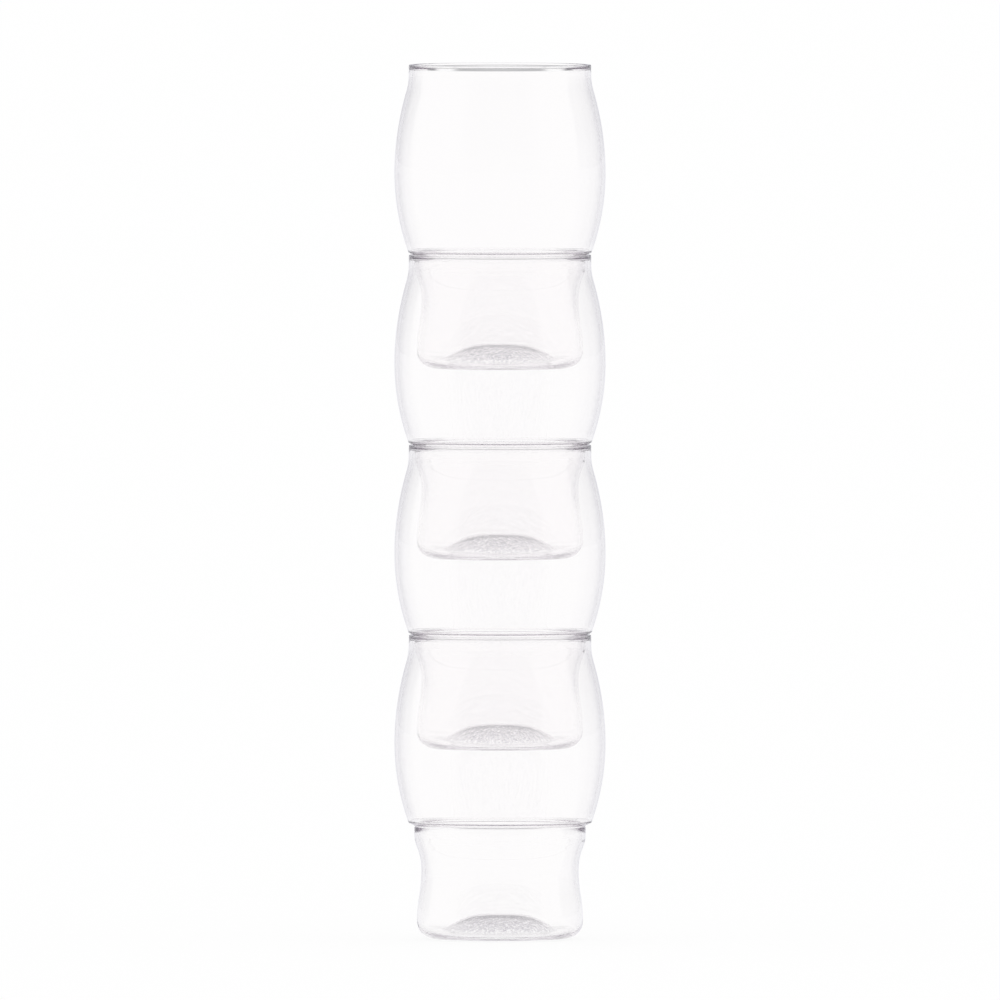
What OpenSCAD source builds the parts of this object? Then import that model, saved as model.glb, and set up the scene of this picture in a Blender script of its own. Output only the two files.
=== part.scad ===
// Stack of clear plastic tasting cups. Each cup is one moulded shell, thin in the bowl, with a
// thicker floor and a thicker lip that is bevelled inside. It has a barrel bowl, a shoulder whose
// sloping seat rests on the lip of the cup below, and a waisted base whose floor is pushed up in the
// middle. Millimetres, +Z up, origin under the bottom cup.

/* [Cup] */
// Height of one cup, foot to lip
cup_h = 79.4; // [75:0.1:88]
// Wall of the bowl and the base
wall = 0.8; // [0.7:0.05:1.1]
// Width of the lip
rim_wall = 1.3; // [1.2:0.05:1.5]
// Round on both edges of the lip
lip_r = 0.3; // [0.2:0.05:0.5]
// Height of the bevel inside, from the lip down to the wall
bevel_h = 1; // [0.4:0.05:1.1]
// Floor of the base
floor_wall = 1.2; // [0.9:0.1:1.7]

/* [Bowl] */
// Outside diameter of the lip and collar
rim_d = 47.7; // [46.8:0.1:48.2]
// Straight collar below the lip
collar_h = 2.4; // [1.8:0.1:5]
// Outside diameter at the widest point of the bowl
bowl_d = 55.2; // [52:0.1:60]
// Height of the widest point of the bowl
bowl_z = 51; // [47:0.5:56]
// Share of the curve under the collar that turns outwards
neck_share = 0.18; // [0.05:0.01:0.5]

/* [Stacking shoulder] */
// Outside diameter of the corner where the bowl ends
shoulder_d = 47.9; // [47:0.1:49]
// Height of that corner
shoulder_z = 30.3; // [29.6:0.1:32]
// Slope of the seat under the shoulder, from level
seat_slope = 26; // [20:1:40]
// Round on the corner of the shoulder
corner_r = 0.25; // [0.2:0.05:0.8]
// Radius of the groove under the seat
groove_r = 0.4; // [0.4:0.05:0.6]
// Depth of the groove in the band
groove_depth = 0.1; // [0.1:0.05:0.3]
// Radial play of the band in the lip of the cup below
stack_play = 0.15; // [0.1:0.01:0.3]
// Air left between a seat and the lip that it rests on
seat_gap = 0.05; // [0.02:0.01:0.2]

/* [Base] */
// Height at which the straight band below the groove ends
band_z = 27.5; // [25:0.1:28]
// Outside diameter of the waist
waist_d = 41.1; // [38:0.1:42.5]
// Height of the waist
waist_z = 17.9; // [14:0.1:20]
// Outside diameter of the foot
foot_d = 43.4; // [43:0.1:44.4]
// Round between the foot's wall and the ring that it stands on
heel_r = 4.6; // [4:0.1:5.5]
// Outer radius of the push-up in the floor
punt_r = 15.6; // [14:0.1:16]
// Height of the push-up
punt_h = 5.2; // [4:0.1:7]
// Radius of the flat top of the push-up
punt_top_r = 4; // [2:0.1:6]

/* [Hidden] */
$fn = 96;
clear_tint = [0.90, 0.93, 0.95, 0.4];

rim_r = rim_d / 2;
bowl_r = bowl_d / 2;
shoulder_r = shoulder_d / 2;
waist_r = waist_d / 2;
foot_r = foot_d / 2;
lip_in = rim_r - rim_wall;
lip_z = cup_h - lip_r;
bevel_z = lip_z - bevel_h;
collar_z = cup_h - collar_h;
band_r = lip_in - stack_play;

// Shares of the base's curves that belong to their wider end
band_share = 0.4;
foot_share = 0.5;
punt_foot_share = 0.15;

// Rounds inside the cup, in the corner above the seat and on the edge below it
valley_r = 0.4;
brow_r = 0.8;

// Radii and joints are rounded by a hair, so that arcs drawn to touch cross in one clean edge
grain = 0.0001;
function up(x) = (ceil(x / grain) + 1) * grain;
function down(x) = floor(x / grain) * grain;

// Lower arc of the bowl: upright at the widest point, through the corner of the shoulder
bowl_step = bowl_r - shoulder_r;
bowl_drop = bowl_z - shoulder_z;
bowl_arc = up((pow(bowl_step, 2) + pow(bowl_drop, 2)) / (2 * bowl_step));
bowl_c = bowl_r - bowl_arc;

// The seat is a cone through the corner of the shoulder; out moves it outwards, square to itself
function seat_height(r, out) =
    shoulder_z + ((r - shoulder_r) * sin(seat_slope) - out) / cos(seat_slope);
function seat_radius(z, out) =
    shoulder_r + ((z - shoulder_z) * cos(seat_slope) + out) / sin(seat_slope);

// The lip below touches the seat, but for the air, with the round of its inner edge
pitch = up(lip_z - seat_height(lip_in + lip_r, lip_r + seat_gap));

// A slab is a slice of the half section between two heights, [low, high, cr, cz, rho]. It reaches
// from the axis to an arc with centre (cr, cz): the far side of the circle where rho is positive,
// so the outline swells, and the near side where rho is negative, so it is drawn in.

// Two touching arcs between a wide point and a narrow one, upright at both ends. share is the
// part of their joint radius that the wide end has, and inset moves both arcs towards the axis.
function ogee(wide_r, wide_z, narrow_r, narrow_z, share, inset) =
    let (
        step = wide_r - narrow_r,
        rise = narrow_z - wide_z,
        joint = (step * step + rise * rise) / (2 * step),
        swell = up(joint * share),
        draw = up(joint * (1 - share)),
        meet_z = up(wide_z + rise * (swell - inset) / joint)
    ) [
        [min(wide_z, narrow_z), max(wide_z, narrow_z), wide_r - swell, wide_z, swell - inset],
        [min(narrow_z, meet_z), max(narrow_z, meet_z), narrow_r + draw, narrow_z, -draw - inset]
    ];

// Centre of the round between the bowl's lower arc and the seat, one radius inside both
function corner_centre(edge, inset) =
    let (
        arc = bowl_arc - inset - edge,
        lean = 1 / tan(seat_slope),
        reach = seat_radius(0, -inset - edge) - bowl_c,
        a = lean * lean + 1,
        b = lean * reach - bowl_z,
        c = reach * reach + bowl_z * bowl_z - arc * arc,
        z = (sqrt(b * b - a * c) - b) / a
    ) [bowl_c + reach + lean * z, z];

// Straight slab from the axis to radius r
module disc(r, low, high) {
    translate([0, low]) square([r, high - low]);
}

module slab(low, high, cr, cz, rho) {
    reach = cr + max(rho, 0);
    if (rho > 0) {
        if (cr > 0) disc(cr, low, high);
        intersection() {
            disc(reach, low, high);
            translate([cr, cz]) circle(rho);
        }
    } else difference() {
        disc(reach, low, high);
        translate([cr, cz]) circle(-rho);
    }
}

module slabs(list) {
    for (s = list) slab(s[0], s[1], s[2], s[3], s[4]);
}

// Base below the band: waist, foot and heel, above a floor of thickness lift
module base_outline(inset, lift) {
    slabs(ogee(band_r, band_z, waist_r, waist_z, band_share, inset));
    slabs(ogee(foot_r, heel_r, waist_r, waist_z, foot_share, inset));
    slab(lift, heel_r, foot_r - inset - heel_r + lift, heel_r, heel_r - lift);
}

// Seat from height low up to its corner, the corner's round, the bowl, and the collar up to the bevel
module bowl_outline(inset, edge, low) {
    centre = corner_centre(edge, inset);
    arc = bowl_arc - inset;
    meet_z = up(bowl_z + (centre[1] - bowl_z) * arc / (arc - edge));
    touch = centre + edge * [sin(seat_slope), -cos(seat_slope)];
    polygon([[0, low], [seat_radius(low, -inset), low], touch, [centre[0], meet_z], [0, meet_z]]);
    translate([up(centre[0]), down(centre[1])]) circle(edge);
    slab(meet_z, bowl_z, bowl_c, bowl_z, arc);
    slabs(ogee(bowl_r, bowl_z, rim_r, collar_z, 1 - neck_share, inset));
    disc(rim_r - inset, collar_z, bevel_z);
}

// One surface of the cup without the lip and the push-up, inset from the outside, with its floor at
// lift. Below the seat a round is drawn into the wall: it touches the seat, and goes deeper than the
// band by depth.
module cup_outline(inset, lift, edge, hollow_r, depth) {
    hollow_c = band_r - inset - depth + hollow_r;
    hollow_z = up(seat_height(hollow_c, hollow_r - inset));
    touch_z = up(hollow_z + hollow_r * cos(seat_slope));
    difference() {
        union() {
            bowl_outline(inset, edge, hollow_z);
            disc(hollow_c - hollow_r * sin(seat_slope), hollow_z, touch_z);
            disc(band_r - inset, band_z, hollow_z);
            base_outline(inset, lift);
        }
        translate([hollow_c, hollow_z]) circle(hollow_r);
    }
}

// Push-up: drawn in at its foot, swelling to a flat top. lift is the floor above it.
module punt_outline(lift) {
    run = punt_r - punt_top_r;
    joint = (run * run + punt_h * punt_h) / (2 * punt_h);
    foot_arc = up(joint * punt_foot_share);
    top_arc = up(joint * (1 - punt_foot_share));
    top_c = punt_h - top_arc;
    meet_z = up(foot_arc - (foot_arc - top_c) * (foot_arc - lift) / joint);
    slab(lift, meet_z, punt_r, foot_arc, lift - foot_arc);
    slab(lift, punt_h + lift, punt_top_r, top_c, top_arc + lift);
}

// Lip with its bevel, on top of the wall
module lip_outline() {
    polygon([[rim_r - wall, bevel_z], [rim_r, bevel_z], [rim_r, lip_z], [lip_in, lip_z]]);
    translate([lip_in + lip_r, lip_z]) square([rim_wall - 2 * lip_r, lip_r]);
    translate([lip_in + lip_r, lip_z]) circle(lip_r);
    translate([rim_r - lip_r, lip_z]) circle(lip_r);
}

// Half section of the whole shell
module cup_section() {
    difference() {
        cup_outline(0, 0, corner_r, groove_r, groove_depth);
        difference() {
            cup_outline(wall, floor_wall, valley_r, brow_r, 0);
            punt_outline(floor_wall);
        }
        punt_outline(0);
    }
    lip_outline();
}

// One cup at its place in the stack, counted from 0 at the bottom
module stacked_cup(level) {
    translate([0, 0, level * pitch]) rotate_extrude() cup_section();
}

module bottom_cup() { color(clear_tint) stacked_cup(0); }
module second_cup() { color(clear_tint) stacked_cup(1); }
module third_cup() { color(clear_tint) stacked_cup(2); }
module top_cup() { color(clear_tint) stacked_cup(3); }

bottom_cup();
second_cup();
third_cup();
top_cup();
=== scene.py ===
"""Stack of clear plastic tasting cups on a white studio floor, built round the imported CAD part."""

import math

import bpy
import numpy as np
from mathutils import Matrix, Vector


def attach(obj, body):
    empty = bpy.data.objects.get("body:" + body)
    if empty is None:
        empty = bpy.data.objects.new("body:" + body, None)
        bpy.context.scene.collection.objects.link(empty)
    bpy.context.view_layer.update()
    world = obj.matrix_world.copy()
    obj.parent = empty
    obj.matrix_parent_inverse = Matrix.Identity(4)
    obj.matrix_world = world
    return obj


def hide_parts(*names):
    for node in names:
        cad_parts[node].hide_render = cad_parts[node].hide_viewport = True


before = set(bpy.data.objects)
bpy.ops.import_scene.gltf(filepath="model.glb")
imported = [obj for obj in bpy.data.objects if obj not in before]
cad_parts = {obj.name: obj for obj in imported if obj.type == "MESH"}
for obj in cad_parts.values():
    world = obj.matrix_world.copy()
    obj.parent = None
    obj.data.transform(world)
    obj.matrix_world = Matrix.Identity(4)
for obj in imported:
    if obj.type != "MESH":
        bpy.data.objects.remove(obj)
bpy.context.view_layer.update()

MM = 0.001
CUPS = ["bottom_cup", "second_cup", "third_cup", "top_cup"]
SEGMENTS = 264

# Outline of one cup in millimetres, the same arcs as the CAD part
CUP_H, WALL, RIM_WALL, FLOOR_WALL = 79.4, 0.8, 1.3, 1.2
RIM_R, BOWL_R, SHOULDER_R, BAND_R, WAIST_R, FOOT_R = 23.85, 27.6, 23.95, 22.4, 20.55, 21.7
COLLAR_Z, BOWL_Z, SHOULDER_Z, BAND_Z, WAIST_Z, HEEL = 77.0, 51.0, 30.3, 27.5, 17.9, 4.6
NECK_SHARE, BAND_SHARE, FOOT_SHARE, PUNT_SHARE = 0.18, 0.4, 0.5, 0.15
PUNT_R, PUNT_H, PUNT_TOP = 15.6, 5.2, 4.0
SEAT = math.radians(26)
CORNER, VALLEY, GROOVE, GROOVE_DEPTH, BROW = 0.25, 0.4, 0.4, 0.1, 0.8
LIP, BEVEL = 0.3, 1.0

# Step from one cup to the next
PITCH = 49.7261

# Hairline ridge where the mould parts, under the band: its height on the cup, relief and half width
RIDGE_Z, RIDGE, RIDGE_WIDTH = 25.5, 0.09, 0.18

# Frost under the push-up: its radius, the width of its soft edge, its relief, and the radius below which
# the relief falls to 0, as the steps between vertices do
FROST_R, FROST_FADE, FROST_RELIEF, FROST_EVEN_R = 15.2, 1.2, 0.035, 8

# Where less shade is painted grey into the wall where it is seen along itself: round the shoulder, and down
# towards the foot
SHOULDER_MID, SHOULDER_SPAN, SHOULDER_LOSS = 30.0, 2.2, 0.85
FOOT_TOP, FOOT_FADE, FOOT_LOSS = 16, 5, 0.75

WHITE = (1, 1, 1, 1)


def ogee(wide, narrow, share):
    """Two touching arcs between two upright ends: their joint radius is half of (step squared plus
    rise squared) over the step, split by share. Gives both centres, both radii and the angle where
    they meet, measured from level."""
    step, rise = wide[0] - narrow[0], narrow[1] - wide[1]
    joint = (step * step + rise * rise) / (2 * step)
    swell, draw = joint * share, joint * (1 - share)
    return (wide[0] - swell, wide[1]), swell, (narrow[0] + draw, narrow[1]), draw, \
        math.degrees(math.atan2(rise, joint - step))


def arc(centre, radius, start, end, chord=0.6):
    """Points on an arc, by equal angles whose chords stay under the given length."""
    count = max(8, math.ceil(abs(math.radians(end - start)) * radius / chord))
    angle = np.radians(np.linspace(start, end, count + 1))
    return np.column_stack([centre[0] + radius * np.cos(angle), centre[1] + radius * np.sin(angle)])


def side(inset, lift, edge, hollow, depth):
    """One side of the wall, from the floor at height lift up to the collar, moved in by inset. The seat
    is a cone through the shoulder's corner. The round above it lies one radius inside the seat and the
    bowl's lower arc; the hollow below it touches the seat and goes deeper than the band by depth."""
    foot = ogee((FOOT_R, HEEL), (WAIST_R, WAIST_Z), FOOT_SHARE)
    band = ogee((BAND_R, BAND_Z), (WAIST_R, WAIST_Z), BAND_SHARE)
    neck = ogee((BOWL_R, BOWL_Z), (RIM_R, COLLAR_Z), 1 - NECK_SHARE)
    step, drop = BOWL_R - SHOULDER_R, BOWL_Z - SHOULDER_Z
    bowl_arc = (step * step + drop * drop) / (2 * step)
    bowl_c = (BOWL_R - bowl_arc, BOWL_Z)

    lean = 1 / math.tan(SEAT)
    reach = SHOULDER_R - SHOULDER_Z * lean - (inset + edge) / math.sin(SEAT) - bowl_c[0]
    a, b = lean * lean + 1, lean * reach - BOWL_Z
    c = reach * reach + BOWL_Z * BOWL_Z - (bowl_arc - inset - edge) ** 2
    corner_z = (math.sqrt(b * b - a * c) - b) / a
    corner_c = (bowl_c[0] + reach + lean * corner_z, corner_z)
    corner_angle = math.degrees(math.atan2(corner_z - BOWL_Z, corner_c[0] - bowl_c[0]))

    band_r = BAND_R - inset
    hollow_r = band_r - depth + hollow
    hollow_z = SHOULDER_Z + ((hollow_r - SHOULDER_R) * math.sin(SEAT) - hollow + inset) / math.cos(SEAT)
    brink = 180 + math.degrees(math.acos(1 - depth / hollow))
    slope = math.degrees(SEAT)
    return np.concatenate([
        arc((FOOT_R - inset - HEEL + lift, HEEL), HEEL - lift, -90, 0, 0.5),
        arc(foot[0], foot[1] - inset, 0, foot[4], 1.0),
        arc(foot[2], foot[3] + inset, 180 + foot[4], 180, 1.0),
        arc(band[2], band[3] + inset, 180, 180 + band[4], 1.0),
        arc(band[0], band[1] - inset, band[4], 0, 0.18 if depth else 0.5),
        arc((hollow_r, hollow_z), hollow, brink, 90 + slope, 0.08),
        arc(corner_c, edge, slope - 90, corner_angle, 0.08),
        arc(bowl_c, bowl_arc - inset, corner_angle, 0, 1.6),
        arc(neck[0], neck[1] - inset, 0, neck[4], 1.6),
        arc(neck[2], neck[3] + inset, 180 + neck[4], 180, 0.4),
    ])


def outline():
    """Closed half section as an array of (radius, height), from the middle of the push-up's underside
    outwards, up the outside, over the lip and down the inside."""
    run = PUNT_R - PUNT_TOP
    joint = (run * run + PUNT_H * PUNT_H) / (2 * PUNT_H)
    foot_arc, top_arc = joint * PUNT_SHARE, joint * (1 - PUNT_SHARE)
    angle = math.degrees(math.atan2(joint - PUNT_H, run))

    def push_up(lift, chord):
        crown = np.column_stack([np.linspace(0, PUNT_TOP, 9)[:-1], np.full(8, PUNT_H + lift)])
        return np.concatenate([crown, arc((PUNT_TOP, PUNT_H - top_arc), top_arc + lift, 90, angle, chord),
                               arc((PUNT_R, foot_arc), foot_arc - lift, 180 + angle, 270, 0.2)])

    lip_in, lip_z = RIM_R - RIM_WALL, CUP_H - LIP
    turn = 2 * math.degrees(math.atan2(RIM_WALL - WALL, BEVEL))
    inner_round = arc((lip_in + LIP, lip_z), LIP, 90, 180 + turn, 0.05)
    bevel_end = [RIM_R - WALL, lip_z - BEVEL]
    path = np.concatenate([
        push_up(0, 0.28), side(0, 0, CORNER, GROOVE, GROOVE_DEPTH),
        arc((RIM_R - LIP, lip_z), LIP, 0, 90, 0.06), inner_round,
        np.linspace(inner_round[-1], bevel_end, 8)[1:], [[bevel_end[0], bevel_end[1] - 0.08]],
        side(WALL, FLOOR_WALL, VALLEY, BROW, 0)[::-1], push_up(FLOOR_WALL, 0.8)[::-1],
    ])
    return path[np.append(True, np.hypot(*np.diff(path, axis=0).T) > 1e-5)]


def revolve(path, segments):
    """Turns a half section that starts and ends on the axis into a closed mesh: one vertex at each
    pole, rings of equal steps between, quads between rings and fans at the poles. Gives vertices,
    quads, triangles, and for every vertex its place along the section and its turning angle."""
    rings = path[1:-1]
    count = len(rings)
    angle = np.arange(segments) * (2 * np.pi / segments)
    r, z = rings[:, 0][:, None], rings[:, 1][:, None]
    turned = np.stack([r * np.cos(angle), r * np.sin(angle), np.broadcast_to(z, (count, segments))], axis=-1)
    poles = np.array([[0, 0, path[0, 1]], [0, 0, path[-1, 1]]])
    vertices = np.concatenate([turned.reshape(-1, 3), poles])
    j = np.arange(segments)
    k = (j + 1) % segments
    row = (np.arange(count - 1) * segments)[:, None]
    quads = np.stack([row + j, row + k, row + segments + k, row + segments + j], axis=-1).reshape(-1, 4)
    first, last = count * segments, count * segments + 1
    end = (count - 1) * segments
    fans = np.concatenate([
        np.column_stack([np.full(segments, first), k, j]),
        np.column_stack([np.full(segments, last), end + j, end + k]),
    ])
    place = np.append(np.repeat(np.arange(1, count + 1), segments), [0, count + 1])
    return vertices, quads, fans, place, np.append(np.tile(angle, count), [0, 0])


def grains(count, seed):
    """Random heights for count rings of vertices and two poles, each the mean of a patch of three rings
    by two steps of white noise, scaled back to a spread of one and cut off at two."""
    noise = np.random.default_rng(seed).standard_normal((count, SEGMENTS))
    noise = sum(np.roll(noise, (i, j), (0, 1)) for i in range(3) for j in range(2)) / math.sqrt(6)
    return np.append(noise.clip(-2, 2), [0, 0])


def make_cup(name, level):
    """One cup as a single closed surface: the outline turned about Z, and lifted by level steps. The
    parting ridge is a bell curve of the height, broken along its length by three sines of the turning
    angle. The frost mask is 1 under the push-up and fades to 0 at its foot; random grains, times the
    mask, are added to the height. The edge mask scales the shade painted grey into the wall where it is
    seen along itself: it is 1, less a flat-topped bell round the shoulder and a straight fade towards the
    foot."""
    path = outline()
    vertices, quads, fans, place, angle = revolve(path, SEGMENTS)
    radius = np.hypot(vertices[:, 0], vertices[:, 1])
    outer = (place < np.argmax(path[:, 1])) & (radius > WAIST_R)
    broken = 0.5 + 0.3 * np.sin(3 * angle + 0.4) + 0.25 * np.sin(11 * angle + 1.1) + 0.2 * np.sin(29 * angle)
    bell = np.exp(-(((vertices[:, 2] - RIDGE_Z) / RIDGE_WIDTH) ** 2))
    ridge = RIDGE * bell * np.clip(broken, 0, 1) * outer
    vertices[:, :2] *= (1 + ridge / np.maximum(radius, 1))[:, None]
    under = place <= np.argmin(path[:, 1])
    frost = np.clip((FROST_R - radius) / FROST_FADE, 0, 1) * under
    relief = FROST_RELIEF * np.minimum(radius / FROST_EVEN_R, 1) * frost
    vertices[:, 2] += relief * grains(len(path) - 2, level)
    height = path[place, 1]
    shoulder = np.exp(-(((height - SHOULDER_MID) / SHOULDER_SPAN) ** 6))
    foot = np.clip((FOOT_TOP - height) / FOOT_FADE, 0, 1)
    # Edge mask: how much shade is painted grey into the wall where it is seen along itself.
    edge = 1 - SHOULDER_LOSS * shoulder - FOOT_LOSS * foot
    vertices[:, 2] += level * PITCH
    vertices *= MM

    mesh = bpy.data.meshes.new(name + "_shell")
    mesh.from_pydata(vertices.tolist(), [], quads.tolist() + fans.tolist())
    for mark, values in (("frost", frost), ("edge", edge)):
        mesh.attributes.new(mark, "FLOAT", "POINT").data.foreach_set("value", values.astype(np.float32))
    mesh.polygons.foreach_set("use_smooth", np.ones(len(mesh.polygons), bool))
    mesh.update()
    cup = bpy.data.objects.new(name + "_shell", mesh)
    bpy.context.scene.collection.objects.link(cup)
    cup.data.materials.append(PLASTIC)
    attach(cup, name)
    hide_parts(name)


class Value:
    """A socket of a node tree that can be used in sums. node() makes any other node."""

    def __init__(self, tree, socket=None):
        self.tree, self.socket = tree, socket

    def node(self, kind, settings=None, output=0, **inputs):
        """Adds a node, sets its properties and its inputs (values, or Values to link), and gives one
        of its outputs. An input is named in lower case with underscores, or n0, n1 for its number."""
        made = self.tree.nodes.new(kind)
        for key, value in (settings or {}).items():
            setattr(made, key, value)
        for key, value in inputs.items():
            if key[0] == "n" and key[1:].isdigit():
                socket = made.inputs[int(key[1:])]
            else:
                socket = next(s for s in made.inputs if s.enabled and s.name.lower().replace(" ", "_") == key)
            if isinstance(value, Value):
                self.tree.links.new(value.socket, socket)
            else:
                socket.default_value = value
        return Value(self.tree, made.outputs[output] if made.outputs else None)

    def _math(self, operation, a, b):
        return self.node("ShaderNodeMath", {"operation": operation}, n0=a, n1=b)

    def __add__(self, other):
        return self._math("ADD", self, other)

    def __sub__(self, other):
        return self._math("SUBTRACT", self, other)

    def __rsub__(self, other):
        return self._math("SUBTRACT", other, self)

    def __mul__(self, other):
        return self._math("MULTIPLY", self, other)

    def __truediv__(self, other):
        return self._math("DIVIDE", self, other)

    def __abs__(self):
        return self._math("ABSOLUTE", self, 0.0)

    def ramp(self, low, high):
        """0 below low and 1 above high, smooth between."""
        return self.node("ShaderNodeMapRange", {"interpolation_type": "SMOOTHSTEP"},
                         value=self, from_min=low, from_max=high)

    def mix(self, low, high):
        """Colour low where this is 0, high where it is 1."""
        return self.node("ShaderNodeMix", {"data_type": "RGBA"}, output=2, n0=self, n6=low, n7=high)


def fresh_tree(owner):
    """An empty node tree for a material or the world."""
    owner.use_nodes = True
    owner.node_tree.nodes.clear()
    return Value(owner.node_tree)


def clear_plastic():
    """Clear moulded plastic: refracting, faintly tinted through its depth, with shade painted grey into its
    colour where it is seen along the wall, as far as the mesh's edge mask lets it, polished with a trace
    of haze, and etched to a sugary frost where the frost mask says."""
    material = bpy.data.materials.new("clear_plastic")
    t = fresh_tree(material)
    at = t.node("ShaderNodeTexCoord", output=3)
    frost = t.node("ShaderNodeAttribute", {"attribute_name": "frost"}, output=2)
    haze = t.node("ShaderNodeTexNoise", vector=at, scale=60.0, detail=3.0)
    grain = t.node("ShaderNodeTexNoise", vector=at, scale=1500.0, detail=2.0, roughness=0.6)
    sugar = grain.ramp(0.44, 0.6) * frost
    facing = t.node("ShaderNodeLayerWeight", output=1, blend=0.5)
    edge = t.node("ShaderNodeAttribute", {"attribute_name": "edge"}, output=2)
    # Painted shade: the colour is painted grey where the surface is seen edge on, as far as the edge mask
    # lets it, for the dark edges of the wall.
    painted_grazing_shade = (facing.ramp(0.44, 0.50) * 0.05 + facing.ramp(0.55, 1.02) * 0.95) * edge
    # The middle colour is the grey of the painted edge shade.
    polished, painted_edge_shade_grey, etched = (1.0, 0.995, 0.996, 1), (0.62, 0.61, 0.66, 1), (0.56, 0.55, 0.59, 1)
    colour = sugar.mix(painted_grazing_shade.mix(polished, painted_edge_shade_grey), etched)
    roughness = haze * 0.01 + 0.002 + frost * 0.06
    bump = t.node("ShaderNodeBump", height=sugar, strength=0.3, distance=0.0001)
    shader = t.node("ShaderNodeBsdfPrincipled", base_color=colour, roughness=roughness, ior=1.57,
                    transmission_weight=1.0, normal=bump)
    depth = t.node("ShaderNodeVolumeAbsorption", color=(0.12, 0.0, 0.14, 1), density=6.0)
    t.node("ShaderNodeOutputMaterial", surface=shader, volume=depth)
    return material


def soft_boxes(x, y):
    """1 towards the tall soft boxes, which stand left and right of the stack, the left one reaching further
    back; 0 behind the stack, and between the two behind the camera."""
    level = x.node("ShaderNodeMath", {"operation": "SQRT"}, n0=x * x + y * y + 0.000001)
    ahead = y / level
    right = (x / level).ramp(-0.2, 0.2)
    return (1 - (ahead + right * 0.36).ramp(0.40, 0.54)) * (ahead.ramp(-0.9, -0.6) * 0.4 + 0.6)


def light_path(t):
    """Whether a ray comes from the camera, is scattered by a matt surface, goes through the plastic,
    or is mirrored by it."""
    camera, diffuse, glossy, through = (t.node("ShaderNodeLightPath", output=i) for i in (0, 2, 3, 6))
    return camera, diffuse, through, glossy * (1 - through)


def studio_floor():
    """White sweep: what looks at it or through the cups sees mostly plain white, with enough of the
    matt, lit surface left to take the stack's soft shadow. Reflections see it a little greyer away
    from the soft boxes. A faint mottle keeps the matt part from being dead flat."""
    material = bpy.data.materials.new("white_sweep")
    t = fresh_tree(material)
    at = t.node("ShaderNodeTexCoord", output=3)
    x, y = (t.node("ShaderNodeSeparateXYZ", output=i, vector=at) for i in range(2))
    mottle = t.node("ShaderNodeTexNoise", vector=at, scale=3.0)
    matt = t.node("ShaderNodeBsdfDiffuse", color=mottle.mix((0.95, 0.95, 0.95, 1), (0.98, 0.98, 0.98, 1)))
    camera, _, through, mirrored = light_path(t)
    grey = soft_boxes(x, y).mix((0.82, 0.81, 0.86, 1), WHITE)
    glow = t.node("ShaderNodeEmission", color=mirrored.mix(WHITE, grey), strength=1.0)
    both = t.node("ShaderNodeMixShader", n0=(camera + through + mirrored) * 0.92, n1=matt, n2=glow)
    t.node("ShaderNodeOutputMaterial", surface=both)
    half, gap = 60, 0.2 * MM
    mesh = bpy.data.meshes.new("studio_floor")
    corners = [(-half, -half, 0), (half, -half, 0), (half, half, 0), (-half, half, 0)]
    mesh.from_pydata(corners, [], [(0, 1, 2, 3)])
    floor = bpy.data.objects.new("studio_floor", mesh)
    floor.location.z = -gap
    bpy.context.scene.collection.objects.link(floor)
    floor.data.materials.append(material)


def studio_world():
    """White tent. Reflections see the room instead: dim, more so higher up, with the soft boxes. Light
    that has gone through the plastic sees the tent with a narrow dark slot low behind the stack and a
    wider shade above it, which the lips bend into their dark lines."""
    world = bpy.data.worlds.new("studio")
    bpy.context.scene.world = world
    t = fresh_tree(world)
    way = t.node("ShaderNodeTexCoord", output=0)
    x, y, z = (t.node("ShaderNodeSeparateXYZ", output=i, vector=way) for i in range(3))
    low_wall, high_wall = (0.68, 0.67, 0.72, 1), (0.42, 0.42, 0.46, 1)
    dim = z.ramp(0.0, 0.2).mix(low_wall, high_wall)
    room = (soft_boxes(x, y) * (1 - z.ramp(0.5, 0.9))).mix(dim, WHITE)
    slot = z.ramp(0.20, 0.27) * (1 - z.ramp(0.31, 0.36)) * (y - abs(x) * 27).ramp(-0.3, 0.2)
    shade = z.ramp(0.33, 0.38) * (1 - z.ramp(0.58, 0.64)) * (y - abs(x) * 3).ramp(-0.3, 0.3)
    slot_depth, shade_depth, darkest = 0.52, 0.85, (0.0, 0.0, 0.02, 1)
    tent = (slot * slot_depth + shade * shade_depth).mix(WHITE, darkest)
    camera, diffuse, _, mirrored = light_path(t)
    seen = (camera + diffuse).mix(mirrored.mix(tent, room), WHITE)
    sky = t.node("ShaderNodeBackground", color=seen, strength=1.0)
    t.node("ShaderNodeOutputWorld", surface=sky)


def studio_camera():
    """Long lens, so that the cups show hardly any perspective, about two degrees above level. width is
    what the picture takes in at the middle of the stack, in metres."""
    lens, sensor, width, elevation = 1600.0, 36, 0.26152, math.radians(1.9)
    target = Vector((0, 0, 0.1147))
    distance = width * lens / sensor
    camera = bpy.data.objects.new("camera", bpy.data.cameras.new("camera"))
    camera.data.lens, camera.data.sensor_width = lens, sensor
    camera.data.clip_end = 100
    back = Vector((0, -math.cos(elevation), math.sin(elevation)))
    camera.location = target + back * distance
    camera.rotation_mode = "QUATERNION"
    camera.rotation_quaternion = (-back).to_track_quat("-Z", "Y")
    bpy.context.scene.collection.objects.link(camera)
    bpy.context.scene.camera = camera


PLASTIC = clear_plastic()
for level, cup_name in enumerate(CUPS):
    make_cup(cup_name, level)
studio_floor()
studio_world()
studio_camera()

scene = bpy.context.scene
scene.view_settings.view_transform = "Standard"
cycles = scene.cycles
cycles.max_bounces = cycles.transmission_bounces = cycles.glossy_bounces = 200
